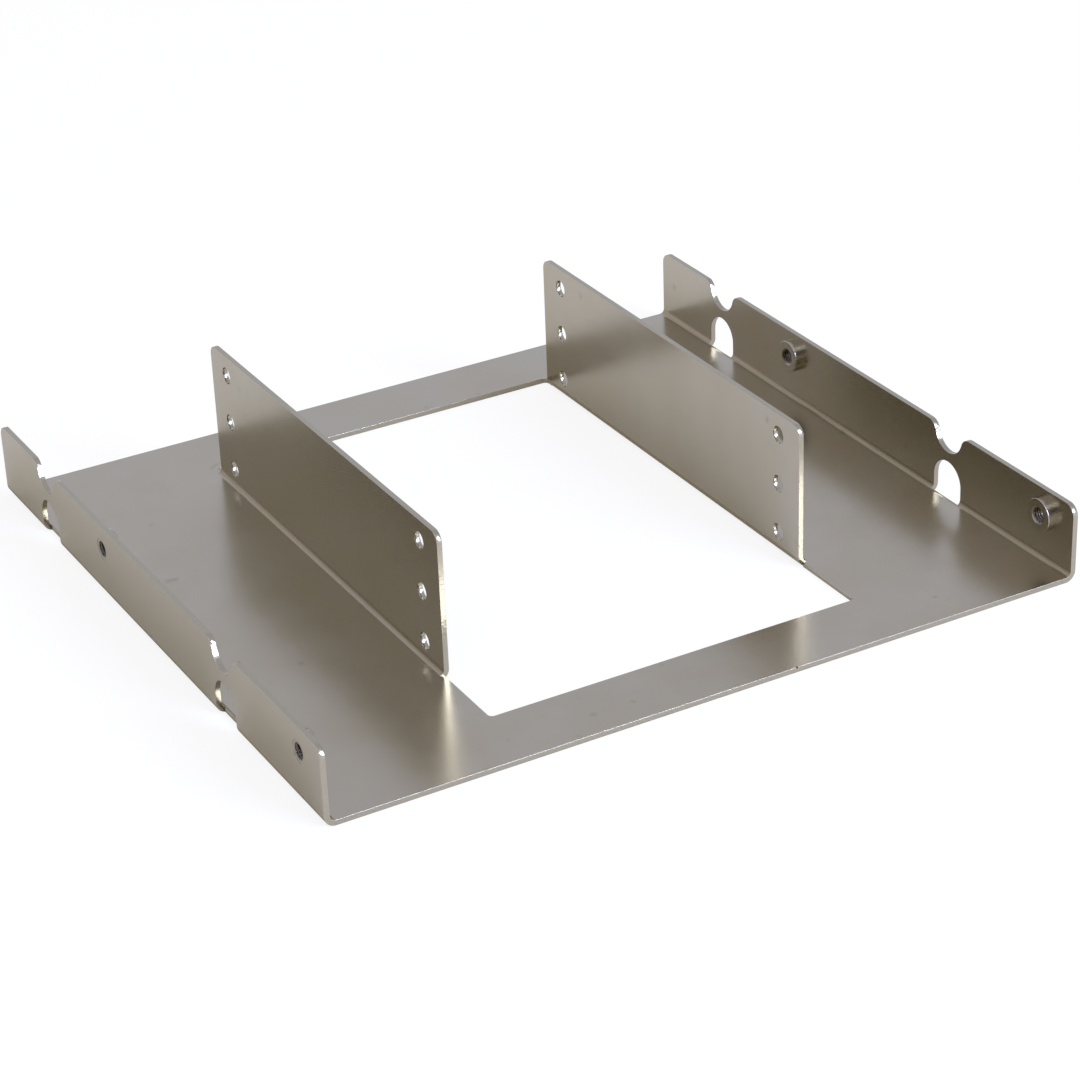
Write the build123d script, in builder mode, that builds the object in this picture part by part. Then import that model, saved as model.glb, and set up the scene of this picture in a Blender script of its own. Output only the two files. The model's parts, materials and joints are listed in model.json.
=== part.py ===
"""Drive bay adapter bracket: one folded steel sheet with four clinched nuts.

The sheet lies on its base. Two low flanges along its sides screw into a wide
drive bay. Two taller walls, folded up out of a window in the base, carry small
drives between them. Notches and slots in the flanges let a screwdriver reach
the walls' holes. The origin is the middle of the base's underside, X runs
across the bay, Y along the drives, and Z up. All sizes are in millimetres.
"""
import os

from build123d import *

os.makedirs("parts", exist_ok=True)

# The sheet and its folds
sheet = 1.0
bend_radius = 1.0  # inside of every fold

# Outer tray, which fills the bay
bay_width = 146.0
depth = 135.6
flange_height = 14.6
flange_corner = 2.2  # upper corners of the flanges, and the lips of their notches

# Small drives between the inner walls, and the holes for their screws
drive_width = 69.85
drive_play = 0.25
hole_diameter = 3.2
hole_spacing = 76.6
hole_rows = 3
row_height = 4.4  # lowest row above the base's underside
row_pitch = 9.65

# Inner walls
wall_height = 27.7
wall_middle = 7.0  # the walls stand this far behind the middle of the base
wall_margin = 6.6  # from the last holes to the walls' ends
wall_corner = 2.0

# Window in the base
window_length = 107.8
window_corner = 0.9

# Screwdriver access through the flanges, in line with the two lower rows
access_width = 8.1
slot_drop = 0.35  # the slots' arches sit this much below the lowest row
slot_depth = 1.5  # the slots end in the fold, this far in from the flange's outer face

# Clinched nuts for the bay's side screws
nut_spacing = 79.25
nut_middle = -20.2
nut_height = 10.0
nut_diameter = 6.3
nut_length = 1.5  # from the flange's inner face to the nut's end
nut_edge = 0.2
shank_diameter = 4.2
shank_recess = 0.06  # the shank ends this far inside the flange's outer face
thread_bore = 2.5
thread_mouth = 3.4  # at the nut's end
thread_exit = 3.0  # at the shank's end

# Nick in the upper front edge of the base
nick_x = 14.7
nick_radius = 0.35
nick_depth = 0.25

# Places worked out from the sizes above
fold_radius = bend_radius + sheet  # outside of every fold
flange_face = bay_width / 2 - sheet
drive_gap = drive_width + drive_play
wall_length = hole_spacing + 2 * wall_margin
hole_y = [wall_middle - hole_spacing / 2, wall_middle + hole_spacing / 2]
hole_z = [row_height + row * row_pitch for row in range(hole_rows)]
notch_z = row_height + row_pitch
slot_z = row_height - slot_drop
nut_y = [nut_middle - nut_spacing / 2, nut_middle + nut_spacing / 2]

# What is punched from an outer flange: two arched slots, and the nuts' holes
with BuildPart() as flange_punches:
    with BuildSketch(Plane.YZ.offset(bay_width / 2 - slot_depth)) as arches:
        with Locations(*[(y, slot_z) for y in hole_y]):
            Circle(access_width / 2)
            Rectangle(access_width, slot_z, align=(Align.CENTER, Align.MAX))
    extrude(amount=slot_depth)
    with BuildSketch(Plane.YZ.offset(flange_face)) as nut_holes:
        with Locations(*[(y, nut_height) for y in nut_y]):
            Circle(shank_diameter / 2)
    extrude(amount=sheet)
    mirror(about=Plane.YZ)

with BuildPart() as bracket_sheet:
    # Front view: the base and both flanges are one folded strip.
    with BuildSketch(Plane.XZ) as tray_section:
        with BuildLine():
            FilletPolyline(
                (-bay_width / 2, flange_height),
                (-bay_width / 2, 0),
                (bay_width / 2, 0),
                (bay_width / 2, flange_height),
                radius=fold_radius,
            )
            offset(amount=sheet, side=Side.LEFT)
        make_face()
    extrude(amount=depth / 2, both=True)

    # Side view: notches in the upper edges, then every upper corner rounded alike
    # by shrinking the outline and growing it again. The outline's own lower corners
    # lie below the base, where they cut nothing.
    with BuildSketch(Plane.YZ) as flange_side:
        with Locations((0, flange_height)):
            Rectangle(depth, flange_height + 2 * flange_corner, align=(Align.CENTER, Align.MAX))
        with Locations(*[(y, notch_z) for y in hole_y]):
            Circle(access_width / 2, mode=Mode.SUBTRACT)
            Rectangle(
                access_width, flange_height, align=(Align.CENTER, Align.MIN), mode=Mode.SUBTRACT
            )
        offset(amount=-flange_corner)
        offset(amount=flange_corner)
    extrude(amount=bay_width / 2, both=True, mode=Mode.INTERSECT)

    # Window in the base, as wide as the walls stand apart outside
    with BuildSketch() as window:
        Rectangle(drive_gap + 2 * sheet, window_length)
        fillet(window.vertices(), radius=window_corner)
    extrude(amount=sheet, mode=Mode.SUBTRACT)

    # Along the walls the base stops where their folds begin.
    with BuildSketch() as fold_lines:
        with Locations((0, wall_middle)):
            Rectangle(drive_gap + 2 * fold_radius, wall_length)
    extrude(amount=sheet, mode=Mode.SUBTRACT)

    # Inner walls with their folds, in the front view
    with BuildSketch(Plane.XZ.offset(-wall_middle)) as wall_section:
        with BuildLine():
            Line((drive_gap / 2, wall_height), (drive_gap / 2, fold_radius))
            JernArc((drive_gap / 2, fold_radius), (0, -1), fold_radius, 90)
            offset(amount=sheet, side=Side.LEFT)
        make_face()
        mirror(about=Plane.YZ)
    extrude(amount=wall_length / 2, both=True)
    fillet(
        bracket_sheet.edges().filter_by(Axis.X).group_by(Axis.Z)[-1],
        radius=wall_corner,
    )

    # Screw holes of the small drives, through both walls
    with BuildSketch(Plane.YZ) as drive_holes:
        with Locations(*[(y, z) for y in hole_y for z in hole_z]):
            Circle(hole_diameter / 2)
    extrude(amount=drive_gap / 2 + fold_radius, both=True, mode=Mode.SUBTRACT)

    add(flange_punches.part, mode=Mode.SUBTRACT)

    with BuildSketch(Plane.XZ.offset(depth / 2)) as nick:
        with Locations((nick_x, sheet)):
            Circle(nick_radius)
    extrude(amount=-nick_depth, mode=Mode.SUBTRACT)

bracket_sheet.part.label = "bracket_sheet"
export_step(bracket_sheet.part, "parts/bracket_sheet.step")

# Four nuts alike, each turned about its own bolt axis
nut_end = flange_face - nut_length
shank_end = bay_width / 2 - shank_recess
nut_profile = [
    (shank_end - (thread_exit - thread_bore) / 2, thread_bore / 2),
    (shank_end, thread_exit / 2),
    (shank_end, shank_diameter / 2),
    (flange_face, shank_diameter / 2),
    (flange_face, nut_diameter / 2),
    (nut_end + nut_edge, nut_diameter / 2),
    (nut_end, nut_diameter / 2 - nut_edge),
    (nut_end, thread_mouth / 2),
    (nut_end + (thread_mouth - thread_bore) / 2, thread_bore / 2),
]
with BuildPart() as clinch_nuts:
    for y in nut_y:
        with BuildSketch(Plane.XZ.offset(-y)) as nut_half:
            with BuildLine():
                Polyline(*[(x, nut_height + r) for x, r in nut_profile], close=True)
            make_face()
        revolve(axis=Axis((0, y, nut_height), (1, 0, 0)))
    mirror(about=Plane.YZ)

clinch_nuts.part.label = "clinch_nuts"
export_step(clinch_nuts.part, "parts/clinch_nuts.step")
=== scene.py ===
"""Looks of the drive bay adapter bracket: plated sheet, clinched nuts and a plain studio.

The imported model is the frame. The sheet's own mesh gets the small rounding that
shearing leaves along every rim, and the nuts are turned and threaded with
geometry nodes. All lengths are in metres.
"""

import json
from math import cos, pi, radians, sin, tan

import bmesh
import bpy
from bpy.props import (
    FloatProperty,
    FloatVectorProperty,
    IntProperty,
    PointerProperty,
)
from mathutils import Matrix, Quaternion, Vector
from mathutils.bvhtree import BVHTree


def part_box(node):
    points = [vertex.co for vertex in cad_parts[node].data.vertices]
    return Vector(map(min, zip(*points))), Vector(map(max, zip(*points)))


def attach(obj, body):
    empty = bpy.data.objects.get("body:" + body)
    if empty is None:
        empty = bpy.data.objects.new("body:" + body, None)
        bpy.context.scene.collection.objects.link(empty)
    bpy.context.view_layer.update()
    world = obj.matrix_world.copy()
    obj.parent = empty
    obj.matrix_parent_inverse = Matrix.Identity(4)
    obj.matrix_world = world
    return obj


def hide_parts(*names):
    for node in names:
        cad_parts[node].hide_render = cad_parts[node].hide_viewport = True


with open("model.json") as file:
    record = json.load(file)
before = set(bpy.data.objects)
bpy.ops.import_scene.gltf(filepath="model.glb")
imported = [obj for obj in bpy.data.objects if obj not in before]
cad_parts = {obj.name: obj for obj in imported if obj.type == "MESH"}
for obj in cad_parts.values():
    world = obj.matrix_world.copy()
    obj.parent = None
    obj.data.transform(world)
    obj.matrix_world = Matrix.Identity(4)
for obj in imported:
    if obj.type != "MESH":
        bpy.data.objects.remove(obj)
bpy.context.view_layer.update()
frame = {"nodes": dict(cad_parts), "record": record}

bl_info = {
    "name": "Drive Bay Adapter Bracket",
    "version": (1, 0, 0),
    "blender": (4, 5, 0),
    "location": "View3D > Sidebar > Bracket",
    "description": "Dresses the folded bracket and lights it in a plain studio",
    "category": "Object",
}

MM = 0.001
BODY = "root"
SKIN, RIM = 0, 1  # material numbers of the folded sheet's faces
LATHE_PLACE = "lathe_place"  # attribute: along the nut's axis, from it, and round it

# The nuts sit where the frame's bay screws do, and reach as far as its own nuts.
bay_screws = next(m for m in frame["record"]["mounts"] if m["name"] == "bay_screws_right")
nut_middle = Vector(bay_screws["pos_m"])
nut_spacing = bay_screws["dims"]["spacing_x_mm"] * MM
nuts_low, nuts_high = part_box("clinch_nuts")
flange_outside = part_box("bracket_sheet")[1].x


class SheetLook(bpy.types.PropertyGroup):
    """Sizes and colours of the folded sheet."""

    thickness: FloatProperty(
        name="Thickness",
        description="Thickness of the sheet, which tells its skins from its sheared rims",
        default=1.0 * MM,
        unit="LENGTH",
        precision=5,
    )
    rim: FloatProperty(
        name="Rim rounding",
        description="How far shearing rolled the skins over at the rims",
        default=0.05 * MM,
        unit="LENGTH",
        precision=5,
    )
    seat_share: FloatProperty(
        name="Rounding at the nuts",
        description="Share of the rounding left where a nut's shank is pressed in",
        default=0.35,
        subtype="FACTOR",
    )
    smallest_face: FloatProperty(
        name="Smallest face",
        description="Faces smaller than this keep sharp edges, in square metres",
        default=0.1 * MM * MM,
        precision=9,
    )
    plate: FloatVectorProperty(
        name="Plating",
        description="Colour of the plated skin",
        default=(0.405, 0.362, 0.262),
        subtype="COLOR",
    )
    stain: FloatVectorProperty(
        name="Stain",
        description="Colour of the plating's faint brownish patches",
        default=(0.385, 0.335, 0.232),
        subtype="COLOR",
    )
    smudge: FloatVectorProperty(
        name="Smudge",
        description="Colour of the few small dark smudges on the plating",
        default=(0.310, 0.272, 0.195),
        subtype="COLOR",
    )
    grazing: FloatVectorProperty(
        name="Grazing tint",
        description="Tint of the metal where it is seen at a low angle",
        default=(0.85, 0.85, 0.80),
        subtype="COLOR",
    )
    fold_top: FloatProperty(
        name="Top of the folds",
        description="Height at which the folds end and the upright sheet begins",
        default=2.0 * MM,
        unit="LENGTH",
        precision=5,
    )
    fold_haze: FloatProperty(
        name="Haze in the folds",
        description="Roughness that bending adds to the plating in the folds",
        default=0.30,
    )
    # Painted shade: the folds' band gets this darker, warmer colour.
    painted_fold_shade: FloatVectorProperty(
        name="Painted fold shade",
        description="Colour of the painted shade in the folds, darker and warmer than the plating",
        default=(0.350, 0.290, 0.172),
        subtype="COLOR",
    )
    sheared: FloatVectorProperty(
        name="Sheared rim",
        description="Colour of the plated rims that the shear left",
        default=(0.385, 0.342, 0.238),
        subtype="COLOR",
    )


class NutLook(bpy.types.PropertyGroup):
    """Sizes and colours of the clinched nuts."""

    diameter: FloatProperty(
        name="Diameter",
        description="Outside of the nut's body",
        default=nuts_high.z - nuts_low.z,
        unit="LENGTH",
        precision=5,
    )
    length: FloatProperty(
        name="Length",
        description="How far the body stands out from the flange",
        default=1.5 * MM,
        unit="LENGTH",
        precision=5,
    )
    shank: FloatProperty(
        name="Shank",
        description="Diameter of the shank in the flange",
        default=4.2 * MM,
        unit="LENGTH",
        precision=5,
    )
    bore: FloatProperty(
        name="Bore",
        description="Diameter inside the thread's crests",
        default=2 * bay_screws["dims"]["hole_r_mm"] * MM,
        unit="LENGTH",
        precision=5,
    )
    mouth: FloatProperty(
        name="Mouth",
        description="Diameter of the chamfer at the thread's mouth",
        default=3.4 * MM,
        unit="LENGTH",
        precision=5,
    )
    mouth_angle: FloatProperty(
        name="Mouth angle",
        description="Angle between the mouth's chamfer and the axis",
        default=radians(60.0),
        subtype="ANGLE",
    )
    leave: FloatProperty(
        name="Exit",
        description="Diameter of the chamfer where the thread leaves the shank",
        default=3.0 * MM,
        unit="LENGTH",
        precision=5,
    )
    pitch: FloatProperty(
        name="Pitch",
        description="Pitch of the thread",
        default=0.5 * MM,
        unit="LENGTH",
        precision=5,
    )
    groove: FloatProperty(
        name="Groove",
        description="Depth of the thread",
        default=0.27 * MM,
        unit="LENGTH",
        precision=5,
    )
    rounding: FloatProperty(
        name="Rounding",
        description="Radius of the corner at the body's free end",
        default=0.15 * MM,
        unit="LENGTH",
        precision=5,
    )
    around: IntProperty(
        name="Steps around",
        description="Faces round each nut",
        default=64,
        min=12,
    )
    per_pitch: IntProperty(
        name="Steps per pitch",
        description="Faces along each pitch of the thread",
        default=12,
        min=6,
    )
    metal: FloatVectorProperty(
        name="Metal",
        description="Colour of the plated nuts",
        default=(0.42, 0.378, 0.280),
        subtype="COLOR",
    )
    # Painted shade: the colour that darkens the thread and the mouth's chamfer.
    thread: FloatVectorProperty(
        name="Thread",
        description="Colour of the painted shade inside the thread",
        default=(0.14, 0.118, 0.080),
        subtype="COLOR",
    )


class StudioLook(bpy.types.PropertyGroup):
    """Camera, floor, surroundings, lamps and black card."""

    azimuth: FloatProperty(
        name="Azimuth",
        description="Direction the camera stands in, counted from the front",
        default=radians(-28.50),
        subtype="ANGLE",
    )
    elevation: FloatProperty(
        name="Elevation",
        description="Height of the camera above the horizon",
        default=radians(28.16),
        subtype="ANGLE",
    )
    roll: FloatProperty(
        name="Roll",
        description="Turn of the picture about the line of sight",
        default=radians(-2.263),
        subtype="ANGLE",
    )
    distance: FloatProperty(
        name="Distance",
        description="From the camera to the point that it looks at",
        default=551.14 * MM,
        unit="LENGTH",
    )
    target: FloatVectorProperty(
        name="Target",
        description="Point that the camera looks at",
        default=(-6.975 * MM, -19.842 * MM, 10.0 * MM),
        subtype="TRANSLATION",
        precision=5,
    )
    lens: FloatProperty(
        name="Lens",
        description="Focal length in millimetres",
        default=105.31,
    )
    floor: FloatVectorProperty(
        name="Floor",
        description="Colour of the floor",
        default=(0.90, 0.90, 0.90),
        subtype="COLOR",
    )
    floor_glow: FloatProperty(
        name="Floor glow",
        description="Share of plain white in what the camera sees of the floor",
        default=0.85,
        subtype="FACTOR",
    )
    low_sky: FloatVectorProperty(
        name="Low surroundings",
        description="Colour of the lower surroundings as the metal mirrors them",
        default=(0.90, 0.97, 1.32),
        subtype="COLOR",
        max=2.0,
    )
    high_sky: FloatVectorProperty(
        name="High surroundings",
        description="Colour of the upper surroundings as the metal mirrors them",
        default=(0.77, 0.81, 1.05),
        subtype="COLOR",
        max=2.0,
    )
    left_sky: FloatVectorProperty(
        name="Left surroundings",
        description="Colour of the surroundings far to the left as the metal mirrors them",
        default=(1.03, 1.06, 1.50),
        subtype="COLOR",
        max=2.0,
    )
    left_step: FloatVectorProperty(
        name="Left step",
        description="Where the surroundings go over to those on the left, as sines",
        default=(-0.39, -0.56),
        size=2,
        min=-1.0,
    )
    sky_step: FloatVectorProperty(
        name="Sky step",
        description="Heights where the lower surroundings go over to the upper, as sines",
        default=(0.42, 0.56),
        size=2,
    )
    sky_light: FloatVectorProperty(
        name="Light of the surroundings",
        description="Colour of the surroundings as a light",
        default=(0.84, 0.82, 0.86),
        subtype="COLOR",
        max=2.0,
    )
    lit_point: FloatVectorProperty(
        name="Lit point",
        description="Point of the object that the lamps and the black card face",
        default=(0.0, 0.0, 10.0 * MM),
        subtype="TRANSLATION",
        precision=5,
    )
    lamp_distance: FloatProperty(
        name="Lamp distance",
        description="From the lit point to each lamp and to the black card",
        default=1.2,
        unit="LENGTH",
    )
    lamp_colour: FloatVectorProperty(
        name="Lamp colour",
        description="Colour of both lamps",
        default=(0.52, 0.61, 1.0),
        subtype="COLOR",
    )
    key_direction: FloatVectorProperty(
        name="Key direction",
        description="Where the main soft lamp stands, seen from the object",
        default=(0.36, -0.815, 0.45),
        subtype="DIRECTION",
    )
    key_size: FloatProperty(
        name="Key size",
        description="Side of the square main lamp",
        default=0.56,
        unit="LENGTH",
    )
    key_radiance: FloatProperty(
        name="Key brightness",
        description="Brightness of the main lamp's face, where 1 is white",
        default=22.0,
    )
    top_direction: FloatVectorProperty(
        name="Top direction",
        description="Where the small upper lamp stands, seen from the object",
        default=(-0.42, -0.40, 0.81),
        subtype="DIRECTION",
    )
    top_size: FloatProperty(
        name="Top size",
        description="Side of the square upper lamp",
        default=0.32,
        unit="LENGTH",
    )
    top_radiance: FloatProperty(
        name="Top brightness",
        description="Brightness of the upper lamp's face, where 1 is white",
        default=5.0,
    )
    card_direction: FloatVectorProperty(
        name="Card direction",
        description="Where the black card stands, seen from the object",
        default=(-0.525, -0.746, 0.410),
        subtype="DIRECTION",
    )
    card_size: FloatVectorProperty(
        name="Card size",
        description="Width and height of the black card",
        default=(0.50, 0.62),
        size=2,
        subtype="XYZ_LENGTH",
    )


# Small helpers for node trees


def set_or_link(tree, socket, source):
    """Gives an input a value, or a link when the source is a socket itself."""
    if isinstance(source, bpy.types.NodeSocket):
        tree.links.new(source, socket)
    else:
        socket.default_value = source


def feed(tree, node, **sources):
    """Sets or links a node's inputs by name; underscores stand for spaces."""
    for name, source in sources.items():
        set_or_link(tree, node.inputs[name.replace("_", " ")], source)


def add_node(tree, kind, settings=None, **sources):
    """A new node of that kind, with its settings made and its inputs fed."""
    node = tree.nodes.new(kind)
    for name, value in (settings or {}).items():
        setattr(node, name, value)
    feed(tree, node, **sources)
    return node


def calculate(tree, operation, *values, clamp=False):
    """The result of a Math node on numbers or sockets."""
    node = add_node(tree, "ShaderNodeMath", {"operation": operation, "use_clamp": clamp})
    for socket, value in zip(node.inputs, values):
        set_or_link(tree, socket, value)
    return node.outputs["Value"]


def parts_of(tree, vector):
    """The X, Y and Z of a vector."""
    return add_node(tree, "ShaderNodeSeparateXYZ", Vector=vector).outputs


def vector_of(tree, x=0.0, y=0.0, z=0.0):
    """A vector from three numbers or sockets."""
    return add_node(tree, "ShaderNodeCombineXYZ", X=x, Y=y, Z=z).outputs["Vector"]


def noise(tree, coordinates, scale, detail, stretch=(1.0, 1.0, 1.0)):
    """Noise of that scale and detail, on coordinates first multiplied along each axis."""
    mapping = add_node(tree, "ShaderNodeMapping", Vector=coordinates, Scale=stretch)
    texture = add_node(
        tree,
        "ShaderNodeTexNoise",
        Vector=mapping.outputs["Vector"],
        Scale=scale,
        Detail=detail,
    )
    return texture.outputs["Fac"]


def spread(tree, value, low, high, to_low=0.0, to_high=1.0):
    """A value's range from low to high, mapped to another and kept inside it."""
    node = add_node(
        tree,
        "ShaderNodeMapRange",
        Value=value,
        From_Min=low,
        From_Max=high,
        To_Min=to_low,
        To_Max=to_high,
    )
    return node.outputs["Result"]


def mixed_colour(tree, share, first, second):
    """A colour between two by that share; each is a colour or a socket."""
    node = add_node(tree, "ShaderNodeMix", {"data_type": "RGBA"}, Factor=share)
    for name, colour in (("A", first), ("B", second)):
        if not isinstance(colour, bpy.types.NodeSocket):
            colour = (*colour, 1.0)
        set_or_link(tree, node.inputs[name], colour)
    return node.outputs["Result"]


def bump(tree, height, distance, strength):
    """A bump of that height field."""
    node = add_node(
        tree, "ShaderNodeBump", Height=height, Distance=distance, Strength=strength
    )
    return node.outputs["Normal"]


# Materials


def metal_material(name, grazing):
    """A new metal material: itself, its tree, its shader and the Object coordinates."""
    material = bpy.data.materials.new(name)
    material.use_nodes = True
    tree = material.node_tree
    shader = tree.nodes["Principled BSDF"]
    feed(tree, shader, Metallic=1.0, Specular_Tint=(*grazing, 1.0))
    place = add_node(tree, "ShaderNodeTexCoord").outputs["Object"]
    return material, tree, shader, place


def plated_skin(look):
    """Satin plating over cold-rolled sheet: faint stains, a few smudges, waves and painted
    shade in the folds.
    """
    material, tree, shader, place = metal_material("plated_skin", look.grazing)
    patches = noise(tree, place, scale=55.0, detail=3.0, stretch=(1.0, 1.0, 0.5))
    stains = spread(tree, patches, low=0.40, high=0.75)
    stained = mixed_colour(tree, stains, look.plate, look.stain)
    dots = noise(tree, place, scale=260.0, detail=1.0)
    smudges = spread(tree, dots, low=0.72, high=0.84)
    smudged = mixed_colour(tree, smudges, stained, look.smudge)

    # Bending's haze makes the band between the base's top and the upper end of the folds
    # rougher; its darker, warmer colour there is painted shade.
    height = parts_of(tree, place)["Z"]
    above = spread(tree, height, low=look.thickness, high=1.2 * look.thickness)
    below = spread(
        tree, height, low=0.9 * look.fold_top, high=look.fold_top, to_low=1.0, to_high=0.0
    )
    bent = calculate(tree, "MULTIPLY", above, below)

    haze = noise(tree, place, scale=240.0, detail=4.0, stretch=(1.0, 0.6, 1.0))
    satin = spread(tree, haze, low=0.3, high=0.7, to_low=0.23, to_high=0.265)
    waves = noise(tree, place, scale=28.0, detail=1.0)
    feed(
        tree,
        shader,
        # Painted shade in the folds' band, mixed over the plating.
        Base_Color=mixed_colour(tree, bent, smudged, look.painted_fold_shade),
        Roughness=calculate(tree, "MULTIPLY_ADD", bent, look.fold_haze, satin),
        Normal=bump(tree, waves, distance=0.1 * MM, strength=0.4),
    )
    return material


def sheared_rim(look):
    """Sheared rims plated like the skins: almost as smooth, but finely uneven."""
    material, tree, shader, place = metal_material("sheared_rim", look.grazing)
    tears = noise(tree, place, scale=2200.0, detail=3.0)
    tone = spread(tree, tears, low=0.3, high=0.7)
    darker = tuple(0.9 * channel for channel in look.sheared)
    feed(
        tree,
        shader,
        Base_Color=mixed_colour(tree, tone, darker, look.sheared),
        Roughness=spread(tree, tears, low=0.3, high=0.7, to_low=0.18, to_high=0.26),
        Normal=bump(tree, tears, distance=0.05 * MM, strength=0.5),
    )
    return material


def turned_metal(look, grazing):
    """Plated turned steel with fine rings about each nut's axis and painted shade inside the
    thread.
    """
    material, tree, shader, place = metal_material("turned_metal", grazing)
    stored = add_node(tree, "ShaderNodeAttribute", {"attribute_name": LATHE_PLACE})
    lathe_place = stored.outputs["Vector"]
    patches = noise(tree, place, scale=900.0, detail=2.0)
    tone = spread(tree, patches, low=0.35, high=0.65)
    darker = tuple(0.85 * channel for channel in look.metal)
    outside = mixed_colour(tree, tone, darker, look.metal)
    # Painted shade: darker the nearer the axis, over the thread and the mouth's chamfer.
    from_axis = parts_of(tree, lathe_place)["Y"]
    inside = spread(
        tree,
        from_axis,
        low=look.bore / 2 + look.groove / 2,
        high=look.mouth / 2,
        to_low=1.0,
        to_high=0.0,
    )
    rings = noise(tree, lathe_place, scale=9000.0, detail=2.0, stretch=(1.0, 1.0, 0.02))
    feed(
        tree,
        shader,
        Base_Color=mixed_colour(tree, inside, outside, look.thread),
        Roughness=spread(tree, rings, low=0.3, high=0.7, to_low=0.20, to_high=0.265),
        Normal=bump(tree, rings, distance=0.006 * MM, strength=0.5),
    )
    return material


def floor_material(look):
    """A pale floor that looks almost white and still takes the object's shadow."""
    material = bpy.data.materials.new("studio_floor")
    material.use_nodes = True
    tree = material.node_tree
    tree.nodes.clear()
    paper = add_node(tree, "ShaderNodeBsdfDiffuse", Color=(*look.floor, 1.0))
    glow = add_node(tree, "ShaderNodeEmission", Color=(1.0, 1.0, 1.0, 1.0))
    path = add_node(tree, "ShaderNodeLightPath")
    share = calculate(tree, "MULTIPLY", path.outputs["Is Camera Ray"], look.floor_glow)
    mix = add_node(tree, "ShaderNodeMixShader")
    for socket, source in zip(mix.inputs, (share, paper.outputs[0], glow.outputs[0])):
        tree.links.new(source, socket)
    add_node(tree, "ShaderNodeOutputMaterial", Surface=mix.outputs[0])
    return material


# Folded sheet


def plain_mesh(maker, name):
    """The evaluated result of an object's modifiers as a plain mesh object."""
    bpy.context.view_layer.update()
    evaluated = maker.evaluated_get(bpy.context.evaluated_depsgraph_get())
    mesh = bpy.data.meshes.new_from_object(evaluated)
    if not mesh.polygons:
        raise RuntimeError(f"{name} came out without faces")
    mesh.name = name
    piece = bpy.data.objects.new(name, mesh)
    bpy.context.scene.collection.objects.link(piece)
    bpy.data.objects.remove(maker)
    return piece


def mark_skins(shell, thickness):
    """Tells the sheet's skins, with its thickness behind them, from its sheared rims."""
    below_face = 0.01 * thickness
    tolerance = 0.06 * thickness
    tree = BVHTree.FromBMesh(shell)
    for face in shell.faces:
        start = face.calc_center_median() - below_face * face.normal
        depth = tree.ray_cast(start, -face.normal)[3]
        is_skin = depth is not None and abs(depth + below_face - thickness) < tolerance
        face.material_index = SKIN if is_skin else RIM


def merged_shell(thickness):
    """The frame's sheet, merged: flat faces are whole, and marked as skin or rim."""
    same_corner = 0.0001 * MM
    same_plane = radians(0.5)
    shell = bmesh.new()
    shell.from_mesh(frame["nodes"]["bracket_sheet"].data)
    bmesh.ops.remove_doubles(shell, verts=shell.verts, dist=same_corner)
    mark_skins(shell, thickness)
    bmesh.ops.dissolve_limit(
        shell,
        angle_limit=same_plane,
        verts=shell.verts,
        edges=shell.edges,
        delimit={"MATERIAL"},
    )
    return shell


def in_nut_seat(edge, shank):
    """Whether an edge is part of the rim of a hole that holds a nut's shank."""
    tolerance = 0.1 * MM
    centre = (edge.verts[0].co + edge.verts[1].co) / 2
    along = abs(abs(centre.y - nut_middle.y) - nut_spacing / 2)
    reach = (along**2 + (centre.z - nut_middle.z) ** 2) ** 0.5
    return abs(reach - shank / 2) < tolerance


def weigh_rims(shell, look, shank):
    """Weights the rims for rounding, less at the nuts' seats; other creases stay sharp."""
    crease = radians(30.0)
    weight = shell.edges.layers.float.new("bevel_weight_edge")
    for edge in shell.edges:
        sides = {face.material_index for face in edge.link_faces}
        least = min(face.calc_area() for face in edge.link_faces)
        if sides == {SKIN, RIM} and edge.is_convex and least > look.smallest_face:
            edge[weight] = look.seat_share if in_nut_seat(edge, shank) else 1.0
        elif edge.calc_face_angle() > crease:
            edge.smooth = False


def straighten_normals(mesh):
    """Stands corner normals upright where the rounding's ends left them leaning far over."""
    far_over = radians(35.0)
    normals = [Vector(corner.vector) for corner in mesh.corner_normals]
    for face in mesh.polygons:
        for corner in face.loop_indices:
            if normals[corner].angle(face.normal) > far_over:
                normals[corner] = face.normal
    mesh.normals_split_custom_set(normals)


def rolled_sheet(look, shank):
    """A copy of the frame's sheet whose sheared rims are rounded over."""
    shell = merged_shell(look.thickness)
    weigh_rims(shell, look, shank)
    for face in shell.faces:
        face.smooth = True
    mesh = bpy.data.meshes.new("sheet_maker")
    shell.to_mesh(mesh)
    shell.free()
    mesh.materials.append(plated_skin(look))
    mesh.materials.append(sheared_rim(look))
    maker = bpy.data.objects.new("sheet_maker", mesh)
    bpy.context.scene.collection.objects.link(maker)
    rounding = maker.modifiers.new("rounding", "BEVEL")
    rounding.limit_method = "WEIGHT"
    rounding.width = look.rim
    rounding.segments = 2
    rounding.use_clamp_overlap = False
    rounding.material = SKIN
    rounding.harden_normals = True
    weighted = maker.modifiers.new("flat_normals", "WEIGHTED_NORMAL")
    weighted.keep_sharp = True
    sheet = plain_mesh(maker, "folded_sheet")
    straighten_normals(sheet.data)
    return sheet


class BRACKET_OT_folded_sheet(bpy.types.Operator):
    """Dress the folded sheet: rounded rims, plated skins and sheared edges"""

    bl_idname = "bracket.folded_sheet"
    bl_label = "Folded Sheet"

    def execute(self, context):
        scene = context.scene
        sheet = rolled_sheet(scene.sheet_look, scene.nut_look.shank)
        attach(sheet, BODY)
        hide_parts("bracket_sheet")
        return {"FINISHED"}


# Clinched nuts


def stepped(first, last, step):
    """Points from the first to just before the last, about a step apart along the axis."""
    count = max(1, round(abs(last[0] - first[0]) / step))
    return [
        tuple(a + (b - a) * i / count for a, b in zip(first, last)) for i in range(count)
    ]


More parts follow.
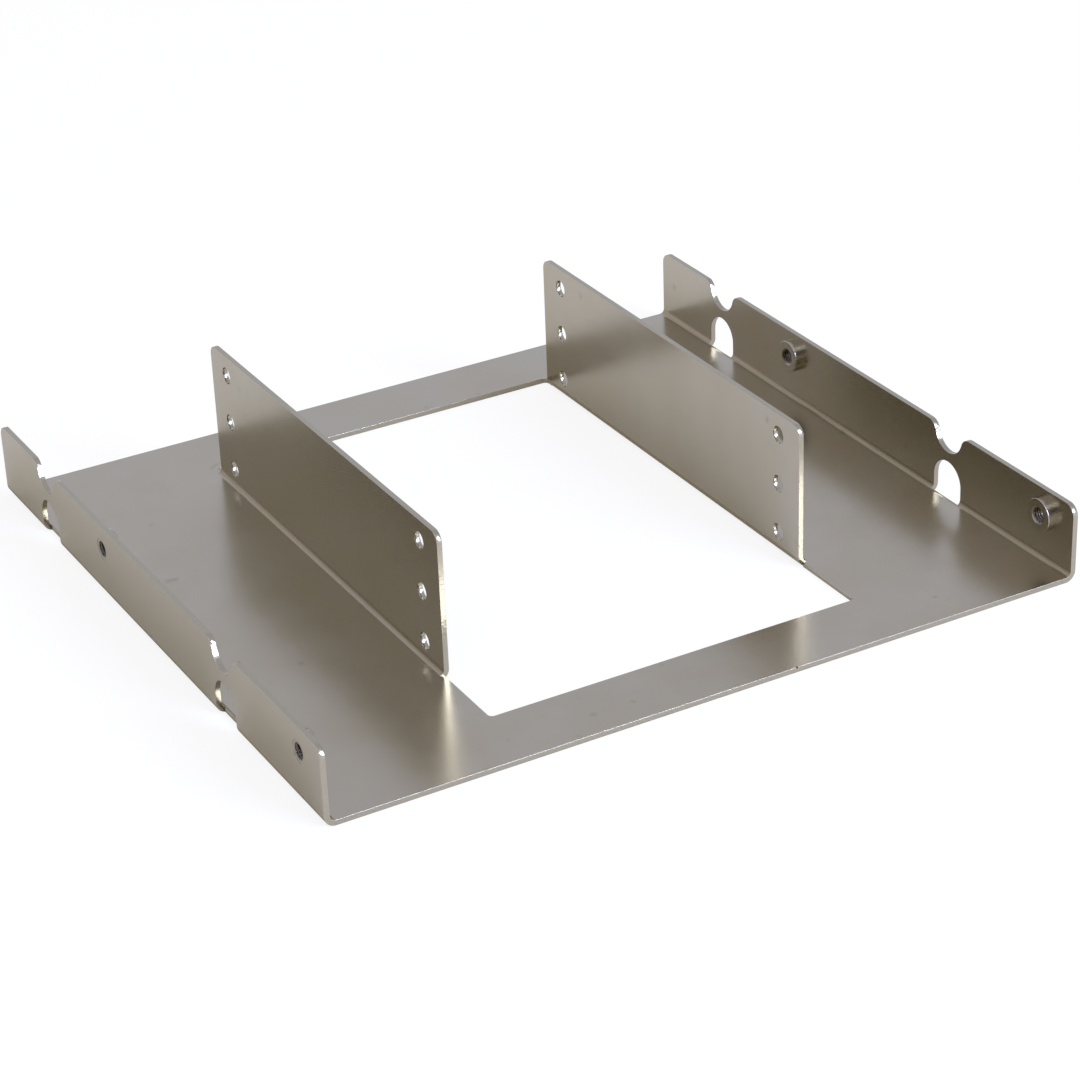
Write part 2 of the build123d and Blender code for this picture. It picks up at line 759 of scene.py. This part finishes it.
def nut_section(look, thickness):
    """Half section of a nut as points (along the axis, from the axis), once round."""
    flange_inside = flange_outside - thickness
    free_end = flange_inside - look.length
    shank_end = nuts_high.x
    body = look.diameter / 2
    corner_steps = 4
    turns = [i * pi / 2 / corner_steps for i in range(corner_steps + 1)]
    corner = [
        (
            free_end + look.rounding * (1 - sin(turn)),
            body - look.rounding * (1 - cos(turn)),
        )
        for turn in turns
    ]
    mouth_depth = (look.mouth - look.bore) / 2 / tan(look.mouth_angle)
    exit_depth = (look.leave - look.bore) / 2
    chamfer_in = (free_end, look.mouth / 2)
    bore_in = (free_end + mouth_depth, look.bore / 2)
    bore_out = (shank_end - exit_depth, look.bore / 2)
    chamfer_out = (shank_end, look.leave / 2)
    step = look.pitch / look.per_pitch
    return [
        chamfer_out,
        (shank_end, look.shank / 2),
        (flange_inside, look.shank / 2),
        (flange_inside, body),
        *corner,
        *stepped(chamfer_in, bore_in, step),
        *stepped(bore_in, bore_out, step),
        *stepped(bore_out, chamfer_out, step),
    ]


def with_lathe_place(tree, geometry, place):
    """The geometry with that vector stored on its points for the material."""
    node = add_node(
        tree,
        "GeometryNodeStoreNamedAttribute",
        {"data_type": "FLOAT_VECTOR", "domain": "POINT"},
        Geometry=geometry,
        Name=LATHE_PLACE,
        Value=place,
    )
    return node.outputs["Geometry"]


def grid_over_section(tree, given):
    """A grid that goes once round and along the section, which is read at each point.

    Returns the grid, each point's share of the full turn, and its place on the section.
    """
    section = given["Section"]
    size = add_node(
        tree, "GeometryNodeAttributeDomainSize", {"component": "MESH"}, Geometry=section
    )
    points = size.outputs["Point Count"]
    grid = add_node(
        tree,
        "GeometryNodeMeshGrid",
        Vertices_X=calculate(tree, "ADD", given["Steps around"], 1),
        Vertices_Y=calculate(tree, "ADD", points, 1),
    )
    marked = with_lathe_place(tree, grid.outputs["Mesh"], grid.outputs["UV Map"])
    shares = add_node(
        tree,
        "GeometryNodeInputNamedAttribute",
        {"data_type": "FLOAT_VECTOR"},
        Name=LATHE_PLACE,
    )
    share = parts_of(tree, shares.outputs["Attribute"])
    number = calculate(tree, "ROUND", calculate(tree, "MULTIPLY", share["Y"], points))
    place = add_node(
        tree,
        "GeometryNodeSampleIndex",
        {"data_type": "FLOAT_VECTOR", "domain": "POINT"},
        Geometry=section,
        Value=add_node(tree, "GeometryNodeInputPosition").outputs["Position"],
        Index=calculate(tree, "MODULO", number, points),
    )
    return marked, share["X"], parts_of(tree, place.outputs["Value"])


def threaded_radius(tree, given, place, turn_share):
    """The section's radius, or the thread's, which climbs one pitch in each turn."""
    # A zigzag made steeper and cut off at both ends, for flat crests and flat roots
    steepness = 1.3
    cut_off = 0.2
    along = calculate(tree, "DIVIDE", place["X"], given["Pitch"])
    phase = calculate(tree, "ADD", along, turn_share)
    saw = calculate(tree, "SUBTRACT", calculate(tree, "FRACT", phase), 0.5)
    ridge = calculate(tree, "MULTIPLY", calculate(tree, "ABSOLUTE", saw), 2.0)
    steep = calculate(tree, "MULTIPLY", ridge, steepness)
    cut = calculate(tree, "SUBTRACT", steep, cut_off, clamp=True)
    root = calculate(tree, "MULTIPLY_ADD", cut, given["Groove"], given["Crest radius"])
    return calculate(tree, "MAXIMUM", place["Y"], root)


def turned_nut(tree, given):
    """One threaded nut about the X axis, wrapped from a grid."""
    same_corner = 0.001 * MM
    crease = radians(60.0)
    grid, turn_share, place = grid_over_section(tree, given)
    radius = threaded_radius(tree, given, place, turn_share)
    angle = calculate(tree, "MULTIPLY", turn_share, 2 * pi)
    position = vector_of(
        tree,
        x=place["X"],
        y=calculate(tree, "MULTIPLY", radius, calculate(tree, "COSINE", angle)),
        z=calculate(tree, "MULTIPLY", radius, calculate(tree, "SINE", angle)),
    )
    wrapped = add_node(tree, "GeometryNodeSetPosition", Geometry=grid, Position=position)
    marked = with_lathe_place(
        tree, wrapped.outputs["Geometry"], vector_of(tree, place["X"], radius, angle)
    )
    closed = add_node(
        tree, "GeometryNodeMergeByDistance", Geometry=marked, Distance=same_corner
    )
    bend = add_node(tree, "GeometryNodeInputMeshEdgeAngle").outputs["Unsigned Angle"]
    creased = add_node(
        tree,
        "GeometryNodeSetShadeSmooth",
        {"domain": "EDGE"},
        Geometry=closed.outputs["Geometry"],
        Selection=calculate(tree, "GREATER_THAN", bend, crease),
        Shade_Smooth=False,
    )
    return creased.outputs["Geometry"]


def in_both_flanges(tree, given, nut):
    """Two nuts in a row, and the same row turned half round for the other flange."""
    middle = parts_of(tree, given["Middle"])
    half = calculate(tree, "MULTIPLY", given["Spacing"], 0.5)
    front = calculate(tree, "SUBTRACT", middle["Y"], half)
    row = add_node(
        tree,
        "GeometryNodeMeshLine",
        Count=2,
        Start_Location=vector_of(tree, y=front, z=middle["Z"]),
        Offset=vector_of(tree, y=given["Spacing"]),
    )
    both = add_node(tree, "GeometryNodeJoinGeometry")
    for turn in (0.0, pi):
        placed = add_node(
            tree,
            "GeometryNodeInstanceOnPoints",
            Points=row.outputs["Mesh"],
            Instance=nut,
            Rotation=(0.0, 0.0, turn),
        )
        tree.links.new(placed.outputs["Instances"], both.inputs["Geometry"])
    return both.outputs["Geometry"]


def nut_tree(look, material):
    """The tree that makes all four nuts, and its inputs' values by identifier."""
    tree = bpy.data.node_groups.new("turned_nuts", "GeometryNodeTree")
    for name, direction in (("Section", "INPUT"), ("Geometry", "OUTPUT")):
        tree.interface.new_socket(
            name=name, in_out=direction, socket_type="NodeSocketGeometry"
        )
    values = {}
    for name, kind, value in (
        ("Steps around", "NodeSocketInt", look.around),
        ("Crest radius", "NodeSocketFloat", look.bore / 2),
        ("Pitch", "NodeSocketFloat", look.pitch),
        ("Groove", "NodeSocketFloat", look.groove),
        ("Middle", "NodeSocketVector", tuple(nut_middle)),
        ("Spacing", "NodeSocketFloat", nut_spacing),
        ("Metal", "NodeSocketMaterial", material),
    ):
        socket = tree.interface.new_socket(name=name, in_out="INPUT", socket_type=kind)
        socket.default_value = value
        values[socket.identifier] = value

    given = add_node(tree, "NodeGroupInput").outputs
    nuts = in_both_flanges(tree, given, turned_nut(tree, given))
    real = add_node(tree, "GeometryNodeRealizeInstances", Geometry=nuts)
    dressed = add_node(
        tree,
        "GeometryNodeSetMaterial",
        Geometry=real.outputs["Geometry"],
        Material=given["Metal"],
    )
    add_node(tree, "NodeGroupOutput", Geometry=dressed.outputs["Geometry"])
    return tree, values


def turned_nuts(look, sheet_look):
    """All four nuts as one piece of four separate shells."""
    section = nut_section(look, sheet_look.thickness)
    count = len(section)
    edges = [(i, (i + 1) % count) for i in range(count)]
    mesh = bpy.data.meshes.new("nut_section")
    mesh.from_pydata([(along, away, 0.0) for along, away in section], edges, [])
    maker = bpy.data.objects.new("nut_maker", mesh)
    bpy.context.scene.collection.objects.link(maker)
    tree, values = nut_tree(look, turned_metal(look, sheet_look.grazing))
    modifier = maker.modifiers.new("turned_nuts", "NODES")
    modifier.node_group = tree
    for identifier, value in values.items():
        modifier[identifier] = value
    weighted = maker.modifiers.new("flat_normals", "WEIGHTED_NORMAL")
    weighted.keep_sharp = True
    return plain_mesh(maker, "threaded_nuts")


class BRACKET_OT_threaded_nuts(bpy.types.Operator):
    """Turn and thread the four clinched nuts"""

    bl_idname = "bracket.threaded_nuts"
    bl_label = "Threaded Nuts"

    def execute(self, context):
        nuts = turned_nuts(context.scene.nut_look, context.scene.sheet_look)
        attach(nuts, BODY)
        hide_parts("clinch_nuts")
        return {"FINISHED"}


# Studio


def aim(obj, place, target):
    """Stands an object at a place, with its -Z axis towards the target."""
    obj.location = place
    obj.rotation_mode = "QUATERNION"
    obj.rotation_quaternion = (target - place).to_track_quat("-Z", "Y")


def face_object(obj, direction, look):
    """Stands an object that way from the lit point, and turns it towards it."""
    lit_point = Vector(look.lit_point)
    aim(obj, lit_point + look.lamp_distance * Vector(direction).normalized(), lit_point)


def flat_rectangle(name, width, height, level, material):
    """A flat rectangle about the Z axis, at that level, with that material."""
    x, y = width / 2, height / 2
    corners = [(-x, -y, level), (x, -y, level), (x, y, level), (-x, y, level)]
    mesh = bpy.data.meshes.new(name)
    mesh.from_pydata(corners, [], [(0, 1, 2, 3)])
    mesh.materials.append(material)
    rectangle = bpy.data.objects.new(name, mesh)
    bpy.context.scene.collection.objects.link(rectangle)
    return rectangle


def studio_floor(look):
    """A wide floor just under the base."""
    side = 6.0
    drop = 0.02 * MM
    floor = flat_rectangle("floor", side, side, -drop, floor_material(look))


def studio_world(look):
    """White for the camera, with colours of its own as a light and in the metal."""
    world = bpy.data.worlds.new("studio")
    world.use_nodes = True
    tree = world.node_tree
    white = (1.0, 1.0, 1.0)
    rays = add_node(tree, "ShaderNodeLightPath").outputs
    heading = add_node(tree, "ShaderNodeTexCoord").outputs["Generated"]
    way = parts_of(tree, heading)
    climb = spread(tree, way["Z"], *look.sky_step)
    ahead = mixed_colour(tree, climb, look.low_sky, look.high_sky)
    leftward = spread(tree, way["X"], *look.left_step)
    mirrored = mixed_colour(tree, leftward, ahead, look.left_sky)
    lit = mixed_colour(tree, rays["Is Glossy Ray"], look.sky_light, mirrored)
    clear = calculate(
        tree, "ADD", rays["Is Camera Ray"], rays["Is Transmission Ray"], clamp=True
    )
    shown = mixed_colour(tree, clear, lit, white)
    feed(tree, tree.nodes["Background"], Color=shown)
    bpy.context.scene.world = world


def soft_lamp(name, direction, size, radiance, look):
    """A square soft lamp towards the object, whose face has that brightness."""
    lamp = bpy.data.lights.new(name, "AREA")
    lamp.shape = "SQUARE"
    lamp.size = size
    # A lamp's power is spread over its face and over all directions in front of it.
    lamp.energy = radiance * pi * size * size
    lamp.color = look.lamp_colour
    obj = bpy.data.objects.new(name, lamp)
    bpy.context.scene.collection.objects.link(obj)
    face_object(obj, direction, look)
    obj.visible_camera = False


def black_card(look):
    """A black card towards the object that only shows in mirroring metal."""
    material = bpy.data.materials.new("black_card")
    material.use_nodes = True
    tree = material.node_tree
    soot = (0.01, 0.01, 0.01, 1.0)
    feed(tree, tree.nodes["Principled BSDF"], Base_Color=soot, Roughness=1.0)
    width, height = look.card_size
    card = flat_rectangle("black_card", width, height, 0.0, material)
    face_object(card, look.card_direction, look)
    card.visible_camera = False
    card.visible_diffuse = False
    card.visible_transmission = False
    card.visible_shadow = False


def studio_camera(look):
    """The camera at the photograph's place."""
    camera = bpy.data.cameras.new("camera")
    camera.sensor_width = 36.0
    camera.lens = look.lens
    obj = bpy.data.objects.new("camera", camera)
    bpy.context.scene.collection.objects.link(obj)
    level = cos(look.elevation)
    back = Vector(
        (sin(look.azimuth) * level, -cos(look.azimuth) * level, sin(look.elevation))
    )
    target = Vector(look.target)
    aim(obj, target + look.distance * back, target)
    obj.rotation_quaternion = obj.rotation_quaternion @ Quaternion((0, 0, 1), look.roll)
    bpy.context.scene.camera = obj


class BRACKET_OT_studio(bpy.types.Operator):
    """Set up the floor, the surroundings, the soft lamps, the black card and the camera"""

    bl_idname = "bracket.studio"
    bl_label = "Studio"

    def execute(self, context):
        look = context.scene.studio_look
        studio_floor(look)
        studio_world(look)
        soft_lamp("key_lamp", look.key_direction, look.key_size, look.key_radiance, look)
        soft_lamp("top_lamp", look.top_direction, look.top_size, look.top_radiance, look)
        black_card(look)
        studio_camera(look)
        context.scene.view_settings.view_transform = "Standard"
        return {"FINISHED"}


class BRACKET_PT_parts(bpy.types.Panel):
    """Lists the bracket's pieces and its studio"""

    bl_idname = "BRACKET_PT_parts"
    bl_label = "Drive Bay Bracket"
    bl_space_type = "VIEW_3D"
    bl_region_type = "UI"
    bl_category = "Bracket"

    def draw(self, context):
        for group, operator in (
            ("sheet_look", "bracket.folded_sheet"),
            ("nut_look", "bracket.threaded_nuts"),
            ("studio_look", "bracket.studio"),
        ):
            box = self.layout.box()
            box.operator(operator)
            look = getattr(context.scene, group)
            for name in look.bl_rna.properties.keys():
                if name not in {"rna_type", "name"}:
                    box.prop(look, name)


CLASSES = (
    SheetLook,
    NutLook,
    StudioLook,
    BRACKET_OT_folded_sheet,
    BRACKET_OT_threaded_nuts,
    BRACKET_OT_studio,
    BRACKET_PT_parts,
)


def register():
    for cls in CLASSES:
        bpy.utils.register_class(cls)
    bpy.types.Scene.sheet_look = PointerProperty(type=SheetLook)
    bpy.types.Scene.nut_look = PointerProperty(type=NutLook)
    bpy.types.Scene.studio_look = PointerProperty(type=StudioLook)


def unregister():
    del bpy.types.Scene.studio_look
    del bpy.types.Scene.nut_look
    del bpy.types.Scene.sheet_look
    for cls in reversed(CLASSES):
        bpy.utils.unregister_class(cls)


def main():
    """Builds the dressed bracket in its studio."""
    register()
    bpy.ops.bracket.folded_sheet()
    bpy.ops.bracket.threaded_nuts()
    bpy.ops.bracket.studio()


if __name__ == "__main__":
    main()
